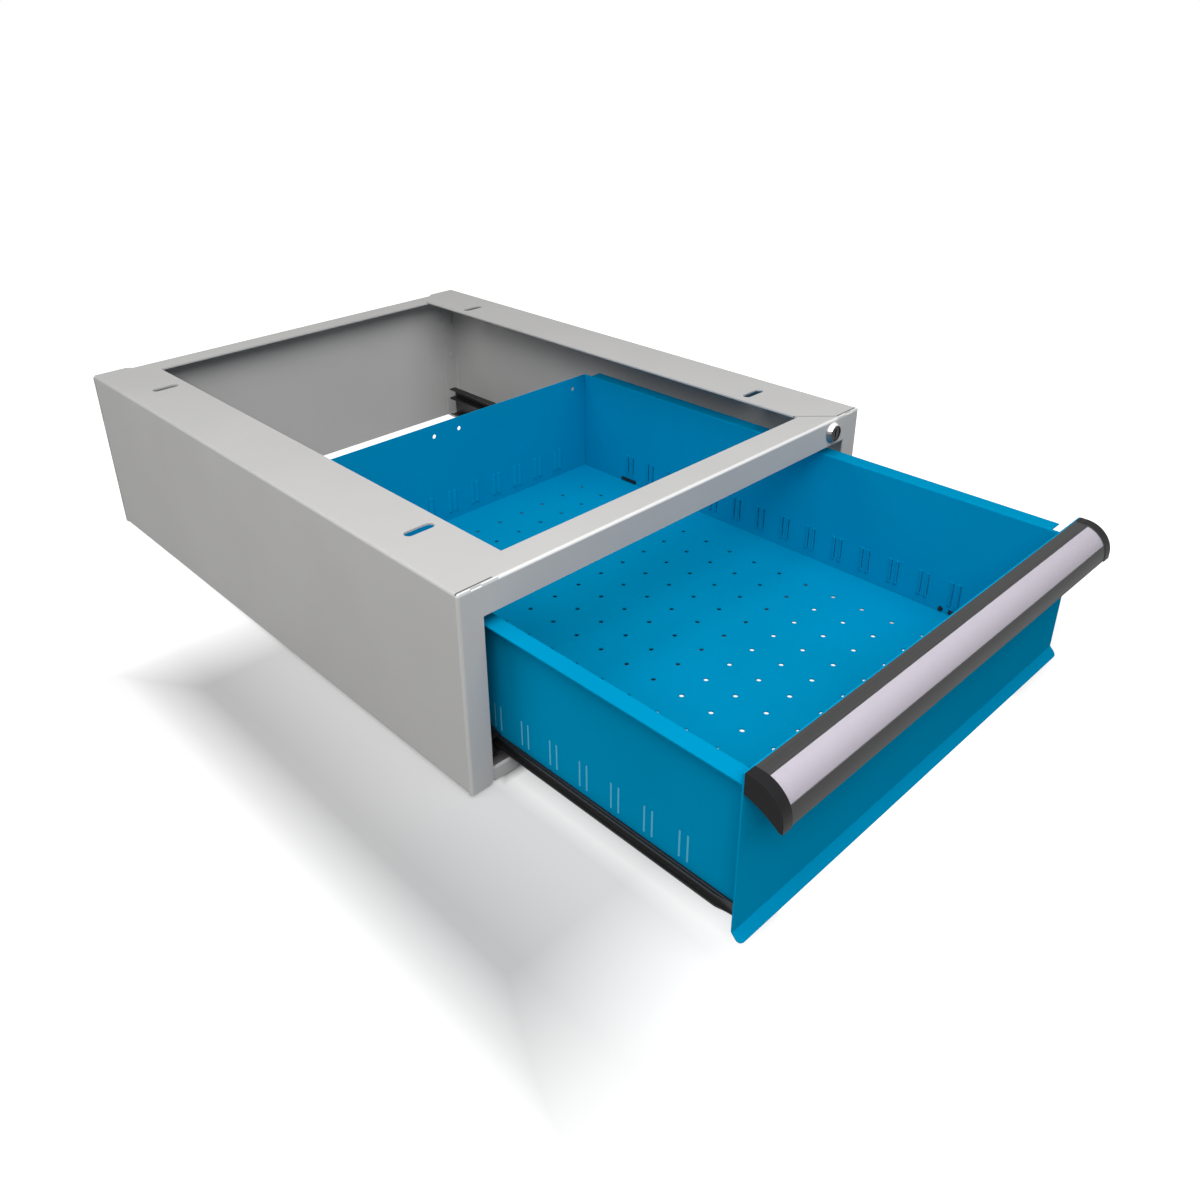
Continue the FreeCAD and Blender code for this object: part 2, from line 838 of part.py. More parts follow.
def make_handle():
    end_x = panel_x - cap_width
    profile = handle_solid(0, -end_x, end_x)
    cavity = handle_solid(-handle_wall, -end_x - 1, end_x + 1)
    recess = arc_band(handle_radius - label_recess, handle_radius + 1, label_start, label_end,
                      -end_x - 1, end_x + 1)
    cuts = [cavity, recess] + [handle_screw_hole(x) for x in handle_screw_xs()]
    nodes["handle_profile"] = profile.cut(cuts)
    strip_inner = handle_radius - label_recess + cover_gap
    strip_outer = strip_inner + label_sheet
    label_angles = (label_start + label_margin, label_end - label_margin)
    nodes["label_strip"] = arc_band(strip_inner, strip_outer, *label_angles, -end_x, end_x)
    nodes["label_cover"] = arc_band(strip_outer + cover_gap, handle_radius, *label_angles, -end_x, end_x)
    cap = handle_solid(cap_proud, end_x, panel_x)
    spigot_y = (panel_y - handle_wall - spigot_gap, panel_y - spigot_reach)
    spigot_z = (panel_top_z - handle_wall - label_recess - spigot_gap,
                panel_top_z - handle_back_height + handle_wall)
    spigot = block((end_x - cap_spigot, end_x), spigot_y, spigot_z)
    both_sides("handle_cap", joined([cap, spigot]))
    z = handle_screw_z()
    screws = []
    for x in handle_screw_xs():
        screws.append(fastener(V(x, panel_back_y, z), V(0, -1, 0), screw_head_radius, screw_head_height,
                               screw_radius, screw_length))
    nodes["handle_screws"] = Part.makeCompound(screws)


# Telescopic ball slides. Depth is counted from the cabinet side towards the drawer.


def slide_point(depth, height):
    return (slide_x - depth, slide_z + height)


def slide_path(points):
    return [slide_point(depth, height) for depth, height in points]


def race(radius, depth, height, y, length):
    """Round groove that a row of balls runs in."""
    x, z = slide_point(depth, height)
    return rod(radius, V(x, y - 1, z), V(x, y + length + 1, z))


def races(radius, depth, height, y, length):
    return [race(radius, depth, side * height, y, length) for side in (-1, 1)]


def make_cabinet_member():
    lip_z = half_slide - cabinet_lip
    path = slide_path([
        (cabinet_arm, lip_z),
        (cabinet_arm, half_slide),
        (0, half_slide),
        (0, -half_slide),
        (cabinet_arm, -half_slide),
        (cabinet_arm, -lip_z),
    ])
    end_y = cabinet_member_y + cabinet_member_length
    member = sheet(path, -slide_sheet, slide_bend, "xz", cabinet_member_y, end_y)
    head_path = slide_path([
        (cabinet_arm, half_slide + cabinet_head),
        (0, half_slide + cabinet_head),
        (0, 0),
    ])
    head = sheet(head_path, -slide_sheet, slide_bend, "xz", cabinet_member_y + cabinet_head_setback, end_y)
    member = joined([member, head])
    cuts = races(outer_ball_radius + ball_clearance, outer_ball_depth, outer_ball_z,
                 cabinet_member_y, cabinet_member_length)
    for y, z in bracket_rivet_places():
        cuts.append(fastener_hole(rivet_radius + rivet_gap, V(slide_x + 1, y, z), V(slide_x - 2, y, z)))
    both_sides("slide_cabinet_member", member.cut(cuts))


def make_intermediate():
    path = slide_path([
        (intermediate_arm_end, half_intermediate),
        (intermediate_web_depth, half_intermediate),
        (intermediate_web_depth, -half_intermediate),
        (intermediate_arm_end, -half_intermediate),
    ])
    end_y = intermediate_y + moving_member_length
    member = sheet(path, -intermediate_sheet, slide_bend, "xz", intermediate_y, end_y)
    cuts = races(outer_ball_radius + ball_clearance, outer_ball_depth, outer_ball_z,
                 intermediate_y, moving_member_length)
    cuts += races(inner_ball_radius + ball_clearance, inner_ball_depth, inner_ball_z,
                  intermediate_y, moving_member_length)
    both_sides("slide_intermediate", member.cut(cuts))


def make_drawer_member():
    path = slide_path([
        (drawer_member_arm_end, half_drawer_member),
        (slide_thickness, half_drawer_member),
        (slide_thickness, -half_drawer_member),
        (drawer_member_arm_end, -half_drawer_member),
    ])
    end_y = drawer_member_y + moving_member_length
    member = sheet(path, slide_sheet, slide_bend, "xz", drawer_member_y, end_y)
    member = member.cut(races(inner_ball_radius + ball_clearance, inner_ball_depth, inner_ball_z,
                              drawer_member_y, moving_member_length))
    nose_x = slide_x - drawer_member_arm_end
    web_inside_x = drawer_outer_x + slide_sheet
    nose_plan = [
        (nose_x + 1, drawer_member_y - 1),
        (web_inside_x, drawer_member_y - 1),
        (web_inside_x, drawer_member_y),
        (nose_x, drawer_member_y + drawer_member_nose),
        (nose_x + 1, drawer_member_y + drawer_member_nose),
    ]
    member = member.cut(extrude(nose_plan, "xy", slide_z - half_slide, slide_z + half_slide))
    in_web_x = drawer_outer_x + slide_sheet / 2
    inside_x = drawer_x - hook_projection
    parts = [member]
    for place_y in hook_places:
        y = panel_y + place_y
        parts.append(block((inside_x, in_web_x), (y - hook_length / 2, y + hook_length / 2),
                           (hook_z - hook_height / 2, hook_z + hook_height / 2)))
    y = panel_y + stud_place
    parts.append(prism(fastener_sides, stud_radius, V(in_web_x, y, hook_z), V(inside_x, y, hook_z)))
    both_sides("slide_drawer_member", joined(parts))


def ball(radius, centre):
    """Ball with flat facets between two rings and two poles."""
    ring_angle = math.radians(35)
    ring_z = radius * math.sin(ring_angle)
    ring_radius = radius * math.cos(ring_angle)
    rings = []
    for height in (-ring_z, ring_z):
        ring = []
        for i in range(ball_sides):
            angle = 2 * math.pi * i / ball_sides
            ring.append(centre + V(ring_radius * math.cos(angle), ring_radius * math.sin(angle), height))
        rings.append(ring)
    low, high = rings
    poles = (centre - V(0, 0, radius), centre + V(0, 0, radius))
    faces = []
    for i in range(ball_sides):
        j = (i + 1) % ball_sides
        for corners in ([low[i], low[j], high[j], high[i]], [low[j], low[i], poles[0]],
                        [high[i], high[j], poles[1]]):
            faces.append(Part.Face(Part.makePolygon(corners + [corners[0]])))
    solid = Part.Solid(Part.Shell(faces))
    if solid.Volume < 0:
        solid.reverse()
    return solid


def make_cage(name, radius, depth, height, web_depth, centre_y):
    """Folded cage with holes for its two rows of balls, and the balls."""
    half = height + cage_sheet / 2
    reach = depth + radius + cage_hole_gap + cage_rim
    path = slide_path([(reach, half), (web_depth, half), (web_depth, -half), (reach, -half)])
    start_y = centre_y - cage_length / 2
    cage = sheet(path, -cage_sheet, slide_bend, "xz", start_y, start_y + cage_length)
    cuts = []
    balls = []
    pitch = cage_length / balls_per_row
    for i in range(balls_per_row):
        y = start_y + pitch * (i + 0.5)
        for side in (-1, 1):
            x, z = slide_point(depth, side * height)
            cuts.append(prism(ball_sides, radius + cage_hole_gap, V(x, y, z - radius), V(x, y, z + radius)))
            balls.append(ball(radius, V(x, y, z)))
    both_sides(name + "_cage", cage.cut(cuts))
    both_sides(name + "_balls", Part.makeCompound(balls))


def make_slides():
    make_cabinet_member()
    make_intermediate()
    make_drawer_member()
    # A cage sits in the middle of the overlap of the two members on its sides when they are fully
    # apart, and moves half as far as they do.
    half_overlap = (moving_member_length - stage_travel) / 2
    outer_to_open = stage_travel - intermediate_open
    inner_to_open = stage_travel - (drawer_open - intermediate_open)
    outer_rest = cabinet_member_y + half_overlap + outer_to_open / 2
    inner_rest = intermediate_y + half_overlap + inner_to_open / 2
    outer_web = slide_sheet + cage_web_gap
    inner_web = intermediate_web_depth + intermediate_sheet + cage_web_gap
    make_cage("outer", outer_ball_radius, outer_ball_depth, outer_ball_z, outer_web, outer_rest)
    make_cage("inner", inner_ball_radius, inner_ball_depth, inner_ball_z, inner_web, inner_rest)


def bracket_spans():
    """Where the front and rear brackets start on the cabinet member, and the way they run."""
    front = cabinet_member_y + bracket_end_setback
    rear = cabinet_member_y + cabinet_member_length - bracket_end_setback
    return {"front": (front, 1), "rear": (rear, -1)}


def bracket_rivet_places():
    places = []
    for start, way in bracket_spans().values():
        y = start + way * bracket_leg / 2
        places += [(y, slide_z - rivet_pitch / 2), (y, slide_z + rivet_pitch / 2)]
    return places


def make_brackets():
    """Z-shaped brackets between the cabinet members and the housing sides."""
    low = slide_z - bracket_height / 2
    high = slide_z + bracket_height / 2
    for place_name, (start, way) in bracket_spans().items():
        path = [
            (slide_x, start + way * bracket_leg),
            (slide_x, start),
            (wall_x - bracket_sheet, start),
            (wall_x - bracket_sheet, start - way * bracket_leg / 2),
        ]
        bracket = sheet(path, way * bracket_sheet, bracket_bend, "xy", low, high)
        cuts = []
        for y, z in bracket_rivet_places():
            cuts.append(fastener_hole(rivet_radius + rivet_gap, V(slide_x - 1, y, z), V(slide_x + 3, y, z)))
        both_sides("slide_bracket_" + place_name, bracket.cut(cuts))
    rivets = []
    grip = bracket_sheet + slide_sheet
    for y, z in bracket_rivet_places():
        rivets.append(rivet(V(slide_x + bracket_sheet, y, z), V(-1, 0, 0), grip))
    rivets += [mirrored(shape) for shape in rivets]
    nodes["bracket_rivets"] = Part.makeCompound(rivets)


# Lock


def make_lock():
    bezel_back = V(lock_x, front_y, lock_z)
    axis_start = V(lock_x, bezel_y, lock_z)
    barrel_end = V(lock_x, cam_y - barrel_end_gap, lock_z)
    cone_end = V(lock_x, bezel_y + bezel_edge, lock_z)
    bezel = tapered(bezel_sides, bezel_face_radius, bezel_radius, axis_start, cone_end)
    collar = prism(bezel_sides, bezel_radius, cone_end, bezel_back)
    barrel = prism(barrel_sides, barrel_radius, bezel_back, barrel_end)
    bore = rod(plug_radius + plug_gap, axis_start, barrel_end)
    nodes["lock_housing"] = joined([bezel, collar, barrel]).cut(bore)
    nut_corner = lock_nut_flats / 2 / math.cos(math.pi / 6)
    nut = prism(6, nut_corner, V(lock_x, nut_y, lock_z), V(lock_x, nut_y + lock_nut_thickness, lock_z),
                math.pi / 6)
    nut_bore = prism(barrel_sides, barrel_radius + barrel_gap, V(lock_x, nut_y - 1, lock_z),
                     V(lock_x, nut_y + lock_nut_thickness + 1, lock_z))
    nodes["lock_nut"] = nut.cut(nut_bore)
    plug_y = bezel_y + plug_recess
    plug = rod(plug_radius, V(lock_x, plug_y, lock_z), V(lock_x, cam_y, lock_z))
    half_tail = plug_tail / 2
    tail_end = cam_y + cam_thickness
    tail = block((lock_x - half_tail, lock_x + half_tail), (cam_y - 1, tail_end),
                 (lock_z - half_tail, lock_z + half_tail))
    half_key = key_slot_width / 2
    key_slot = block((lock_x - half_key, lock_x + half_key), (plug_y - 1, plug_y + key_slot_depth),
                     (lock_z - key_slot_height / 2, lock_z + key_slot_height / 2))
    screw_hole = fastener_hole(screw_radius + screw_gap, V(lock_x, cam_y - screw_length / 2, lock_z),
                               V(lock_x, tail_end + 1, lock_z))
    nodes["lock_plug"] = joined([plug, tail]).cut([key_slot, screw_hole])
    half_width = cam_width / 2
    cam = [
        (lock_x - half_width, lock_z - half_width + cam_corner),
        (lock_x - half_width + cam_corner, lock_z - half_width),
        (lock_x + cam_reach - cam_corner, lock_z - half_width),
        (lock_x + cam_reach, lock_z - half_width + cam_corner),
        (lock_x + cam_reach, lock_z + half_width - cam_corner),
        (lock_x + cam_reach - cam_corner, lock_z + half_width),
        (lock_x - half_width + cam_corner, lock_z + half_width),
        (lock_x - half_width, lock_z + half_width - cam_corner),
    ]
    hole = half_tail + screw_gap
    square = block((lock_x - hole, lock_x + hole), (cam_y - 1, tail_end + 1), (lock_z - hole, lock_z + hole))
    nodes["lock_cam"] = extrude(cam, "xz", cam_y, tail_end).cut(square)
    thread_length = cam_thickness + screw_length / 2 - screw_gap
    nodes["lock_cam_screw"] = fastener(V(lock_x, tail_end, lock_z), V(0, -1, 0), cam_screw_head_radius,
                                       screw_head_height, screw_radius, thread_length)


def build():
    make_housing()
    make_drawer_sides()
    make_floor()
    make_rear_wall()
    make_front_panel()
    make_handle()
    make_slides()
    make_brackets()
    make_lock()
    os.makedirs("parts", exist_ok=True)
    for name, shape in nodes.items():
        for solid in shape.Solids:
            if solid.Volume <= 0 or not solid.isValid():
                print("check", name, "volume", solid.Volume, "valid", solid.isValid())
        shape.exportStep("parts/" + name + ".step")
        print(name, "solids", len(shape.Solids), "volume", round(shape.Volume))


build()
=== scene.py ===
import json
import math

import bpy
from mathutils import Matrix, Vector


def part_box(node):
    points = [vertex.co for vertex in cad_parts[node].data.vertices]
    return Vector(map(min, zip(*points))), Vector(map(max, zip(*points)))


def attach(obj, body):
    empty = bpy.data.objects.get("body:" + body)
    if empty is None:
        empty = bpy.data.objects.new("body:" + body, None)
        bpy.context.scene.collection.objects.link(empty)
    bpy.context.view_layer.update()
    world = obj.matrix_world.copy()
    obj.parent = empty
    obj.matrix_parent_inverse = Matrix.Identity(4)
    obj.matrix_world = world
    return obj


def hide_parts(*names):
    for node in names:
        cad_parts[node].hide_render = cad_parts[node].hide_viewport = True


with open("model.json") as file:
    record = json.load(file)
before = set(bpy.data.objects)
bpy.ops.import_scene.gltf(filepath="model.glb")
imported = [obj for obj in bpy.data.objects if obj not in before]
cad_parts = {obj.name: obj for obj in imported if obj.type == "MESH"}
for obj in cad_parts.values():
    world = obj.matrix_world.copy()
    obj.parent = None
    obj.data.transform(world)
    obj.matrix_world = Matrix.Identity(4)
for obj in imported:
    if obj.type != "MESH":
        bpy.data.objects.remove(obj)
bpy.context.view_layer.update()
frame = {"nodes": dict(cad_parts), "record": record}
MM = 0.001


# Sockets of a Mix node that mixes colours
MIX_FACTOR = 0
MIX_FIRST = 6
MIX_SECOND = 7
MIX_RESULT = 2


# Shader maths


class Wire:
    """An output socket. Arithmetic on it adds Math nodes to its material."""

    def __init__(self, finish, socket):
        self.finish = finish
        self.socket = socket

    def math(self, operation, *values):
        return self.finish.node("ShaderNodeMath", {"operation": operation}, dict(enumerate(values)))

    def __add__(self, other):
        return self.math("ADD", self, other)

    def __sub__(self, other):
        return self.math("SUBTRACT", self, other)

    def __rsub__(self, other):
        return self.math("SUBTRACT", other, self)

    def __mul__(self, other):
        return self.math("MULTIPLY", self, other)

    def power(self, exponent):
        return self.math("POWER", self, exponent)

    def absolute(self):
        return self.math("ABSOLUTE", self)

    def at_least(self, other):
        return self.math("MAXIMUM", self, other)

    def between(self, low, high):
        """0 at low, 1 at high, clamped in between and outside."""
        sockets = {"Value": self, "From Min": low, "From Max": high}
        return self.finish.node("ShaderNodeMapRange", {"clamp": True}, sockets)

    __radd__ = __add__
    __rmul__ = __mul__


class Finish:
    """A node tree under construction: a material or the world."""

    def __init__(self, name, world=False):
        owner = bpy.data.worlds.new(name) if world else bpy.data.materials.new(name)
        owner.use_nodes = True
        self.owner = owner
        self.tree = owner.node_tree
        self.tree.nodes.clear()
        self.world = world

    def node(self, kind, settings, sockets, output=0):
        made = self.tree.nodes.new(kind)
        for name, value in settings.items():
            setattr(made, name, value)
        for name, value in sockets.items():
            socket = made.inputs[name]
            if isinstance(value, Wire):
                self.tree.links.new(value.socket, socket)
            else:
                socket.default_value = value
        return Wire(self, made.outputs[output])

    def place(self):
        return self.node("ShaderNodeTexCoord", {}, {}, "Object")

    def stretched(self, scale):
        return self.node("ShaderNodeMapping", {}, {"Vector": self.place(), "Scale": scale})

    def noise(self, scale, detail=2.0, stretch=None):
        vector = self.stretched(stretch) if stretch else self.place()
        return self.node("ShaderNodeTexNoise", {}, {"Vector": vector, "Scale": scale, "Detail": detail})

    def along(self, axis):
        return self.node("ShaderNodeSeparateXYZ", {}, {0: self.place()}, axis)

    def mix(self, factor, first, second):
        sockets = {MIX_FACTOR: factor, MIX_FIRST: first, MIX_SECOND: second}
        return self.node("ShaderNodeMix", {"data_type": "RGBA"}, sockets, MIX_RESULT)

    def bump(self, height, distance):
        sockets = {"Height": height, "Distance": distance, "Strength": 1.0}
        return self.node("ShaderNodeBump", {}, sockets)

    def done(self, surface):
        kind = "ShaderNodeOutputWorld" if self.world else "ShaderNodeOutputMaterial"
        end = self.tree.nodes.new(kind)
        self.tree.links.new(surface.socket, end.inputs["Surface"])
        return self.owner

    def coated(self, sockets):
        """The material, with one Principled BSDF for its surface."""
        return self.done(self.node("ShaderNodeBsdfPrincipled", {}, sockets))


def colour(red, green, blue):
    return (red, green, blue, 1)


# Places on the part, in metres. A pair says where a mask is 0 and where it is 1.

LOCK_X = 185.5 * MM
LOCK_Z = -12 * MM
BEZEL_RIM = (7.0 * MM, 7.8 * MM)
BEZEL_REFLECTION_TOP = (3.0 * MM, 5.2 * MM)
JOINT_X = 194 * MM
JOINT_Y = -292.3 * MM
JOINT_BLUR = 0.3 * MM
FOLD_HALF_WIDTH = (0.7 * MM, 0.4 * MM)
MITRE_HALF_WIDTH = (0.8 * MM, 0.5 * MM)
RIGHT_HALF = (-100 * MM, 100 * MM)
TOP_FACE = (-1.2 * MM, -1.0 * MM)
BEND_HEIGHT = (-2.6 * MM, -1.4 * MM)
BEND_DEPTH = (-292.8 * MM, -294.0 * MM)
SIDE_INNER_FACE = (187.1 * MM, 187.2 * MM)
SIDE_OUTER_FACE = (187.9 * MM, 187.8 * MM)
PANEL_REAR_FACE = (-490 * MM, -488 * MM)
LOUVRE_BOTTOM = (-134 * MM, -132 * MM)
LOUVRE_TOP = (-108 * MM, -110 * MM)
LABEL_SHADE_HEIGHT = (-27 * MM, -44 * MM)
CAP_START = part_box("handle_profile")[1][0] + 0.1 * MM


# Finishes


def corner_joints(finish):
    """1 on the joints of the front corners: along the rail's fold, then at 45 degrees at the right."""
    across = finish.along("X")
    deep = finish.along("Y")
    aside = across.absolute()
    fold = (deep - JOINT_Y).absolute().between(*FOLD_HALF_WIDTH)
    fold = fold * aside.between(JOINT_X, JOINT_X + JOINT_BLUR)
    mitre = (aside + deep - (JOINT_X + JOINT_Y)).absolute().between(*MITRE_HALF_WIDTH)
    mitre = mitre * aside.between(JOINT_X, JOINT_X - JOINT_BLUR) * across.between(*RIGHT_HALF)
    return (fold + mitre) * finish.along("Z").between(*TOP_FACE)


def painted_bend_highlight(finish):
    """1 on the bend along the housing's top front edge, which is painted lighter there as a painted
    highlight.
    """
    return finish.along("Z").between(*BEND_HEIGHT) * finish.along("Y").between(*BEND_DEPTH)


def painted_louvre_highlight(finish):
    """1 on the walls of the louvres' slits, inside the thickness of the drawer's sides, which are
    painted lighter there as a painted highlight.
    """
    aside = finish.along("X").absolute()
    up = finish.along("Z")
    sheet = aside.between(*SIDE_INNER_FACE) * aside.between(*SIDE_OUTER_FACE)
    sheet = sheet * finish.along("Y").between(*PANEL_REAR_FACE)
    return sheet * up.between(*LOUVRE_BOTTOM) * up.between(*LOUVRE_TOP)


def powder_coat(name, deep, light, roughness, shine, marks):
    """Baked paint: a fine orange peel, and slightly uneven in tone.

    Marks are pairs of a mask and its colour: dark joint lines, and painted highlights on the housing's
    bend and in the louvres.
    """
    finish = Finish(name)
    cloud = finish.noise(scale=9.0, detail=3.0).between(0.35, 0.65)
    grain = finish.noise(scale=1400.0, detail=1.0)
    peel = finish.noise(scale=420.0)
    base = finish.mix(cloud * 0.7 + grain * 0.3, deep, light)
    for mask, tone in marks:
        base = finish.mix(mask(finish), base, tone)
    sockets = {
        "Base Color": base,
        "Roughness": peel * 0.16 + (roughness - 0.08),
        "Specular IOR Level": shine,
        "Normal": finish.bump(peel + grain * 0.4, 0.03 * MM),
    }
    return finish.coated(sockets)


def rolled_steel(name, deep, light, metallic, roughness):
    """Drawn steel with faint lines along the run of the slide."""
    finish = Finish(name)
    lines = finish.noise(scale=60.0, detail=4.0, stretch=(18.0, 0.4, 18.0))
    specks = finish.noise(scale=900.0)
    base = finish.mix(lines.between(0.3, 0.7) * 0.8 + specks * 0.2, deep, light)
    sockets = {
        "Base Color": base,
        "Metallic": metallic,
        "Roughness": lines * 0.25 + (roughness - 0.12),
        "Normal": finish.bump(lines, 0.04 * MM),
    }
    return finish.coated(sockets)


def satin_plastic(name, deep, light, cap_tone, roughness, shine):
    """Dark plastic with fine drawing lines along the handle, and the darker tone of its end caps."""
    finish = Finish(name)
    lines = finish.noise(scale=110.0, detail=3.0, stretch=(0.02, 6.0, 6.0))
    grain = finish.noise(scale=1600.0, detail=1.0)
    base = finish.mix(lines.between(0.3, 0.7) * 0.6 + grain * 0.4, deep, light)
    cap = finish.along("X").absolute().between(CAP_START, CAP_START + 0.1 * MM)
    sockets = {
        "Base Color": finish.mix(cap, base, cap_tone),
        "Roughness": lines * 0.2 + (roughness - 0.1),
        "Specular IOR Level": shine,
        "Normal": finish.bump(lines + grain * 0.5, 0.03 * MM),
    }
    return finish.coated(sockets)


def plated(name, tone, roughness):
    """Bright metal with faint smears that are a little deeper in tone."""
    finish = Finish(name)
    smears = finish.noise(scale=160.0, detail=3.0)
    smeared = colour(*[level * 0.86 for level in tone])
    base = finish.mix(smears.between(0.3, 0.7), smeared, colour(*tone))
    sockets = {
        "Base Color": base,
        "Metallic": 1.0,
        "Roughness": smears * 0.1 + (roughness - 0.05),
    }
    return finish.coated(sockets)


def card(name):
    """Satin label card, painted darker towards the lower edge as painted shade."""
    finish = Finish(name)
    fibres = finish.noise(scale=700.0)
    # Painted shade: the card turns darker towards its lower edge.
    low = finish.along("Z").between(*LABEL_SHADE_HEIGHT)
    unshaded_tone = colour(0.46, 0.42, 0.485)
    painted_shade_tone = colour(0.22, 0.19, 0.235)
    base = finish.mix(low * 0.9 + fibres * 0.1, unshaded_tone, painted_shade_tone)
    sockets = {"Base Color": base, "Roughness": fibres * 0.1 + 0.5, "Specular IOR Level": 0.2}
    return finish.coated(sockets)


def clear_cover(name):
    """Clear film with a slight haze."""
    finish = Finish(name)
    haze = finish.noise(scale=40.0)
    sockets = {
        "Base Color": colour(0.95, 0.95, 1.0),
        "Roughness": haze * 0.08 + 0.2,
        "Specular IOR Level": 0.25,
        "Alpha": 0.08,
    }
    return finish.coated(sockets)


def lock_plating(name):
    """Chrome with painted reflections: the bezel's rim painted light at the top and darker below, and
    the key face painted dark with lighter painted swirls.
    """
    finish = Finish(name)
    smears = finish.noise(scale=160.0, detail=3.0)
    across = finish.along("X") - LOCK_X
    up = finish.along("Z") - LOCK_Z
    radius = (across * across + up * up).power(0.5)
    rim = radius.between(*BEZEL_RIM)
    # Painted reflection: the rim is lighter at the top than below.
    rim_reflection = finish.mix(up.between(*BEZEL_REFLECTION_TOP), colour(0.30, 0.28, 0.29), colour(0.95, 0.95, 0.95))
    # Painted reflection: the key face is dark, with lighter painted swirls.
    painted_dark_face = colour(0.006, 0.006, 0.006)
    painted_swirl = colour(0.050, 0.049, 0.048)
    face = finish.mix(smears.between(0.5, 0.7), painted_dark_face, painted_swirl)
    sockets = {
        "Base Color": finish.mix(rim, face, rim_reflection),
        "Metallic": 1.0 - rim * 0.35,
        "Roughness": smears * 0.1 + 0.1,
    }
    return finish.coated(sockets)


paints = {
    "grey_paint": powder_coat(
        "grey_paint", colour(0.490, 0.486, 0.480), colour(0.520, 0.516, 0.510),
        roughness=0.45, shine=0.05,
        # The bend's light tone is a painted highlight; the dark joint lines are the seams' own.
        marks=((painted_bend_highlight, colour(0.80, 0.80, 0.79)), (corner_joints, colour(0.06, 0.06, 0.06)))),
    "blue_paint": powder_coat(
        "blue_paint", colour(0.0, 0.250, 0.465), colour(0.0, 0.270, 0.505),
        roughness=0.5, shine=0.0,
        # The louvres' light tone is a painted highlight.
        marks=((painted_louvre_highlight, colour(0.12, 0.46, 0.66)),)),
    "black_steel": rolled_steel(
        "black_steel", colour(0.008, 0.008, 0.009), colour(0.018, 0.018, 0.019),
        metallic=0.2, roughness=0.42),
    "bright_steel": plated("bright_steel", (0.78, 0.78, 0.80), roughness=0.14),
    "zinc": plated("zinc", (0.70, 0.70, 0.71), roughness=0.34),
    "dark_plastic": satin_plastic(
        "dark_plastic", colour(0.040, 0.040, 0.041), colour(0.055, 0.055, 0.056),
        cap_tone=colour(0.009, 0.009, 0.010), roughness=0.5, shine=0.12),
    "label_card": card("label_card"),
    "clear_plastic": clear_cover("clear_plastic"),
    "lock_chrome": lock_plating("lock_chrome"),
}
slots = {part["node"]: part["material_slot"] for part in frame["record"]["subparts"]}

for name, slot in slots.items():
    node = frame["nodes"][name]
    node.data.materials.clear()
    node.data.materials.append(paints[slot])


# Modelling


def pick(piece):
    bpy.ops.object.select_all(action="DESELECT")
    piece.select_set(True)
    bpy.context.view_layer.objects.active = piece


def settle(piece):
    """Puts the piece's place, turn and size into its mesh."""
    pick(piece)
    bpy.ops.object.transform_apply(location=True, rotation=True, scale=True)
    return piece


def modify(piece, kind, **settings):
    pick(piece)
    made = piece.modifiers.new(kind.title(), kind)
    for name, value in settings.items():
        setattr(made, name, value)
    bpy.ops.object.modifier_apply(modifier=made.name)


def finish_piece(piece, name, slot, body, replaced):
    """Names and paints a finished piece, and gives it to its body in place of CAD nodes."""
    piece.name = name
    piece.data.name = name
    piece.data.materials.clear()
    piece.data.materials.append(paints[slot])
    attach(piece, body)
    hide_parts(*replaced)


def slab(low, high):
    bpy.ops.object.select_all(action="DESELECT")
    middle = [(a + b) / 2 for a, b in zip(low, high)]
    size = [b - a for a, b in zip(low, high)]
    bpy.ops.mesh.primitive_cube_add(size=1, location=middle, scale=size)
    return settle(bpy.context.object)


def upright_bar(radius, length, place):
    bpy.ops.object.select_all(action="DESELECT")
    bpy.ops.mesh.primitive_cylinder_add(vertices=24, radius=radius, depth=length, location=place)
    return settle(bpy.context.object)


def dressed(node, edge):
    """A copy of a CAD node with its triangles merged and its edges broken."""
    source = frame["nodes"][node]
    piece = source.copy()
    piece.data = source.data.copy()
    bpy.context.collection.objects.link(piece)
    piece.parent = None
    piece.matrix_world = Matrix.Identity(4)
    pick(piece)
    bpy.ops.object.mode_set(mode="EDIT")
    bpy.ops.mesh.select_all(action="SELECT")
    bpy.ops.mesh.remove_doubles(threshold=MERGE_DISTANCE)
    bpy.ops.mesh.dissolve_limited(angle_limit=FLAT_ANGLE)
    bpy.ops.object.mode_set(mode="OBJECT")
    modify(piece, "BEVEL", width=edge, segments=2, limit_method="ANGLE", angle_limit=EDGE_ANGLE,
           use_clamp_overlap=True)
    pick(piece)
    bpy.ops.object.shade_smooth_by_angle(angle=EDGE_ANGLE)
    modify(piece, "WEIGHTED_NORMAL", keep_sharp=True)
    return piece


# Drawer floor with round holes on a square grid

GRID = 28.6 * MM
HOLE_COLUMNS = 11
HOLE_ROWS = 17
HOLE_RADIUS = 1.95 * MM
FIRST_HOLE_X = -(HOLE_COLUMNS - 1) / 2 * GRID
FIRST_HOLE_Y = -482.6 * MM
DRILL_LENGTH = 4 * MM


def make_drawer_floor():
    low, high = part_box("drawer_floor")
    floor = slab(low, high)
    middle = (low[2] + high[2]) / 2
    drill = upright_bar(HOLE_RADIUS, DRILL_LENGTH, (FIRST_HOLE_X, FIRST_HOLE_Y, middle))
    for offset, count in (((GRID, 0, 0), HOLE_COLUMNS), ((0, GRID, 0), HOLE_ROWS)):
        modify(drill, "ARRAY", count=count, use_relative_offset=False, use_constant_offset=True,
               constant_offset_displace=offset)
    modify(floor, "BOOLEAN", operation="DIFFERENCE", object=drill, solver="EXACT")
    bpy.data.objects.remove(drill)
    finish_piece(floor, "perforated_floor", "blue_paint", "drawer", ["drawer_floor"])


make_drawer_floor()


# Sheet metal, slides, handle and lock with broken edges

MERGE_DISTANCE = 0.002 * MM
FLAT_ANGLE = math.radians(1)
EDGE_ANGLE = math.radians(35)

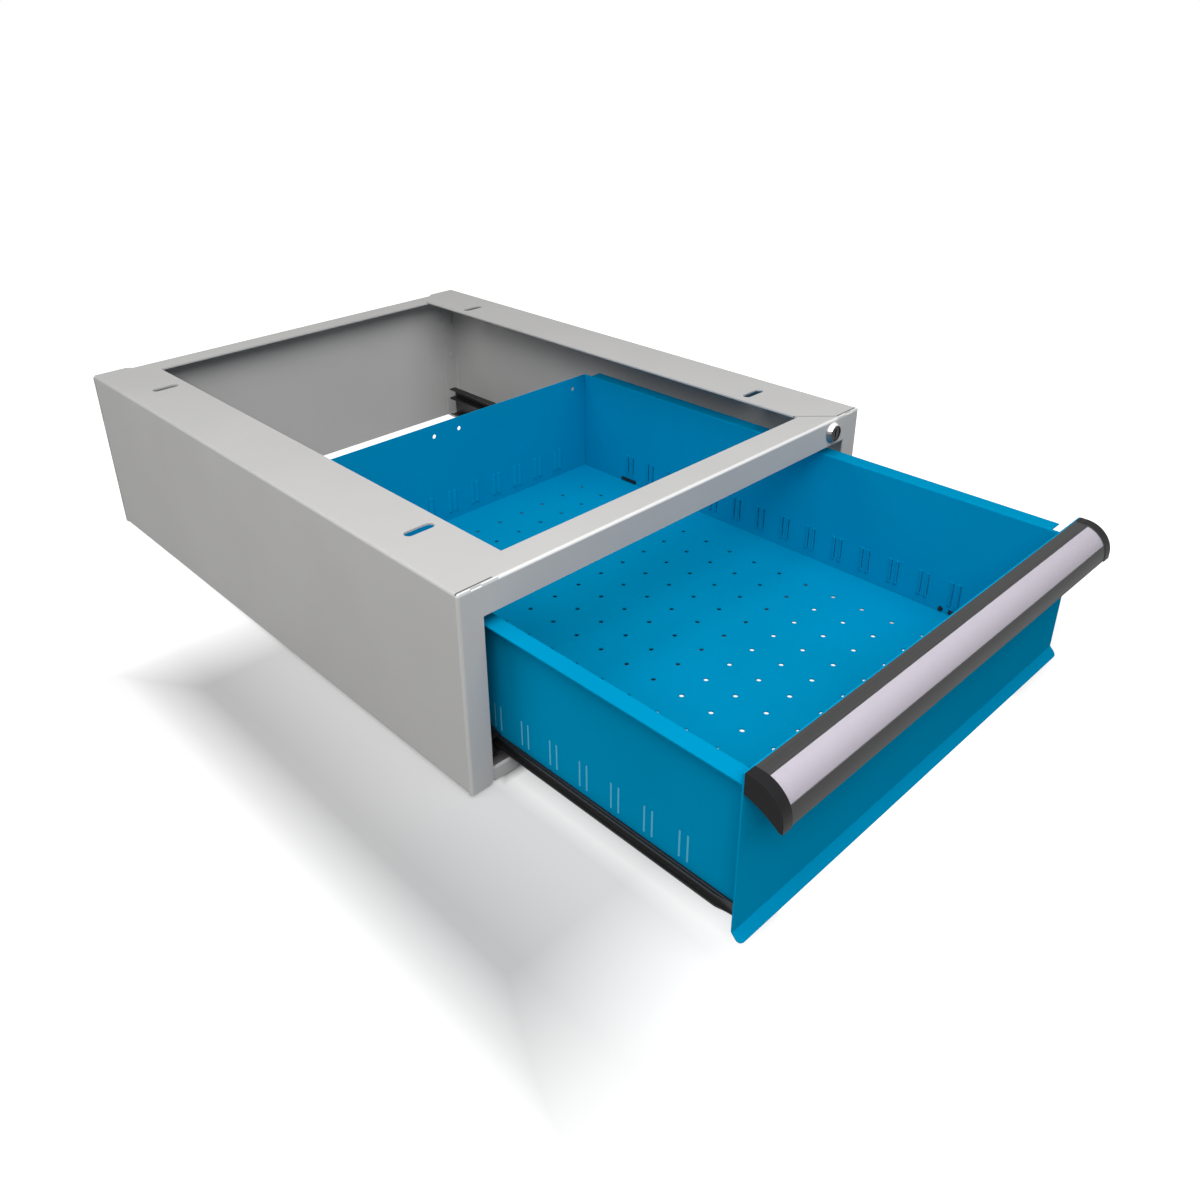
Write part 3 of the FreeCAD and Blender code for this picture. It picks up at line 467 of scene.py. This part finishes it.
# Width of the broken edges in millimetres, by the start of the nodes' names
EDGES = {
    "housing_side": 0.2,
    "housing_front_rail": 0.2,
    "housing_bottom_rail": 0.2,
    "housing_rear_panel": 0.2,
    "drawer_side": 0.12,
    "drawer_rear_wall": 0.12,
    "drawer_front_panel": 0.25,
    "slide_drawer_member": 0.2,
    "slide_intermediate": 0.15,
    "handle_profile": 0.25,
    "handle_cap": 0.3,
    "lock_housing": 0.3,
    "lock_plug": 0.15,
}


def body_of(node):
    for body, parts in frame["record"]["behaviour"]["bodies"].items():
        if node in parts:
            return body


def dress_all():
    for start, edge in EDGES.items():
        for node in sorted(slots):
            if node.startswith(start):
                piece = dressed(node, edge * MM)
                finish_piece(piece, "smooth_" + node, slots[node], body_of(node), [node])


dress_all()


# Floor, light and camera


def white_seen(finish):
    """1 where a surface is seen directly, in a mirror or through glass."""
    path = finish.node("ShaderNodeLightPath", {}, {}, "Is Camera Ray")
    kinds = path.socket.node.outputs
    glossy = Wire(finish, kinds["Is Glossy Ray"])
    through = Wire(finish, kinds["Is Transmission Ray"])
    return path.at_least(glossy).at_least(through)


def make_world():
    """White where it is seen, and a low even light on the unit."""
    world = Finish("studio", world=True)
    level = white_seen(world) * (1.0 - AMBIENT) + AMBIENT
    sockets = {"Color": colour(1, 1, 1), "Strength": level}
    bpy.context.scene.world = world.done(world.node("ShaderNodeBackground", {}, sockets))


def faded(wire, ramps):
    """A quick ramp and a slow one added up. Each has a start, an end and a share."""
    quick, slow = [wire.between(start, end) * share for start, end, share in ramps]
    return quick + slow


def floor_glow_painted_shadow(finish):
    """How much the floor glows where it is seen: 1 on the open floor; little to the unit's left, a
    painted shadow over the lamps' own one; fully under the drawer and ahead of the panel, a painted
    light over the real shadow.
    """
    across = finish.along("X")
    aside = across.absolute()
    deep = finish.along("Y")
    behind = deep.between(*BEHIND_UNIT)
    rear = faded(deep, REAR_RAMPS) * aside.between(*BESIDE_REAR)
    open_floor = faded(across, LEFT_RAMPS).at_least(across.between(*RIGHT_RAMP))
    open_floor = open_floor.at_least(rear).at_least(faded(deep, FRONT_RAMPS)).at_least(behind)
    outside = aside.between(*HOUSING_SIDE).at_least(deep.between(*HOUSING_FRONT)).at_least(behind)
    beside = across.between(*BESIDE_UNIT) * GLOW_BESIDE
    under_slide = across.between(*UNDER_SLIDE) * GLOW_UNDER
    painted_shadow_glow = outside * (GLOW_NEAR + beside + under_slide)
    painted_light_under_drawer = deep.between(*DRAWER_START) * aside.between(*DRAWER_SIDE)
    painted_light_ahead = deep.between(*PANEL_FOOT) * across.between(*PANEL_LEFT_END)
    glow = open_floor + (1.0 - open_floor) * painted_shadow_glow
    return glow.at_least(painted_light_under_drawer).at_least(painted_light_ahead)


def make_floor():
    """Pale floor just under the housing, white away from the unit, with a painted shadow beside it over
    the lamps' own shadow.
    """
    bpy.ops.object.select_all(action="DESELECT")
    bpy.ops.mesh.primitive_plane_add(size=FLOOR_SIZE, location=(0, 0, FLOOR_Z))
    floor = settle(bpy.context.object)
    floor.name = "studio_floor"
    finish = Finish("pale_floor")
    shade = finish.node("ShaderNodeBsdfDiffuse", {}, {"Color": colour(0.35, 0.35, 0.35)})
    # The glow is seen only and lights nothing; its mask paints the shadow beside the unit and the light
    # under the drawer.
    light = finish.node("ShaderNodeEmission", {}, {"Strength": white_seen(finish) * floor_glow_painted_shadow(finish)})
    both = finish.node("ShaderNodeAddShader", {}, {0: shade, 1: light})
    floor.data.materials.append(finish.done(both))


def studio_lamp(name, place, aim, width, power):
    data = bpy.data.lights.new(name, "AREA")
    data.size = width
    data.energy = power
    lamp = bpy.data.objects.new(name, data)
    bpy.context.collection.objects.link(lamp)
    lamp.location = place
    lamp.rotation_euler = (Vector(aim) - Vector(place)).to_track_quat("-Z", "Y").to_euler()


AMBIENT = 0.2
FLOOR_SIZE = 24
FLOOR_Z = -165.5 * MM
# Glow levels within the painted shadow near the unit
GLOW_NEAR = 0.10
GLOW_BESIDE = 0.25
GLOW_UNDER = 0.2

# Places on the floor, in metres, that shape the painted shadow and light. A pair says where a mask is 0
# and where it is 1.
BEHIND_UNIT = (0.10, 0.16)
BESIDE_REAR = (0.20, 0.225)
BESIDE_UNIT = (-0.29, -0.205)
UNDER_SLIDE = (-0.205, -0.190)
HOUSING_SIDE = (0.19, 0.20)
HOUSING_FRONT = (-0.29, -0.30)
DRAWER_START = (-0.258, -0.264)
DRAWER_SIDE = (0.165, 0.150)
PANEL_FOOT = (-0.49, -0.53)
PANEL_LEFT_END = (-0.27, -0.20)
RIGHT_RAMP = (0.20, 0.42)
LEFT_RAMPS = ((-0.30, -0.345, 0.5), (-0.33, -0.50, 0.5))
REAR_RAMPS = ((-0.04, 0.03, 0.55), (0.02, 0.16, 0.45))
FRONT_RAMPS = ((-0.42, -0.50, 0.45), (-0.50, -0.64, 0.55))

make_world()
make_floor()
studio_lamp("front_softbox", place=(0, -1.3, 1.4), aim=(0, -0.3, 0), width=1.2, power=11)
studio_lamp("front_left_softbox", place=(-1.0, -1.1, 1.2), aim=(0, -0.2, 0), width=0.8, power=17)
studio_lamp("rear_left_softbox", place=(-1.3, 0.3, 1.0), aim=(0, -0.2, 0), width=0.8, power=6)
studio_lamp("top_softbox", place=(-0.25, -0.4, 1.1), aim=(0, -0.2, 0), width=0.5, power=4)

camera = bpy.data.objects.new("photo_camera", bpy.data.cameras.new("photo_camera"))
bpy.context.collection.objects.link(camera)
camera.location = (-0.5463, -0.7436, 0.3358)
camera.rotation_euler = [math.radians(angle) for angle in (63.091, 1.014, -43.187)]
camera.data.sensor_width = 36
camera.data.lens = 30.891
camera.data.shift_x = 0.0299
camera.data.shift_y = -0.0742
camera.data.clip_start = 0.02
bpy.context.scene.camera = camera
bpy.context.scene.view_settings.view_transform = "Standard"
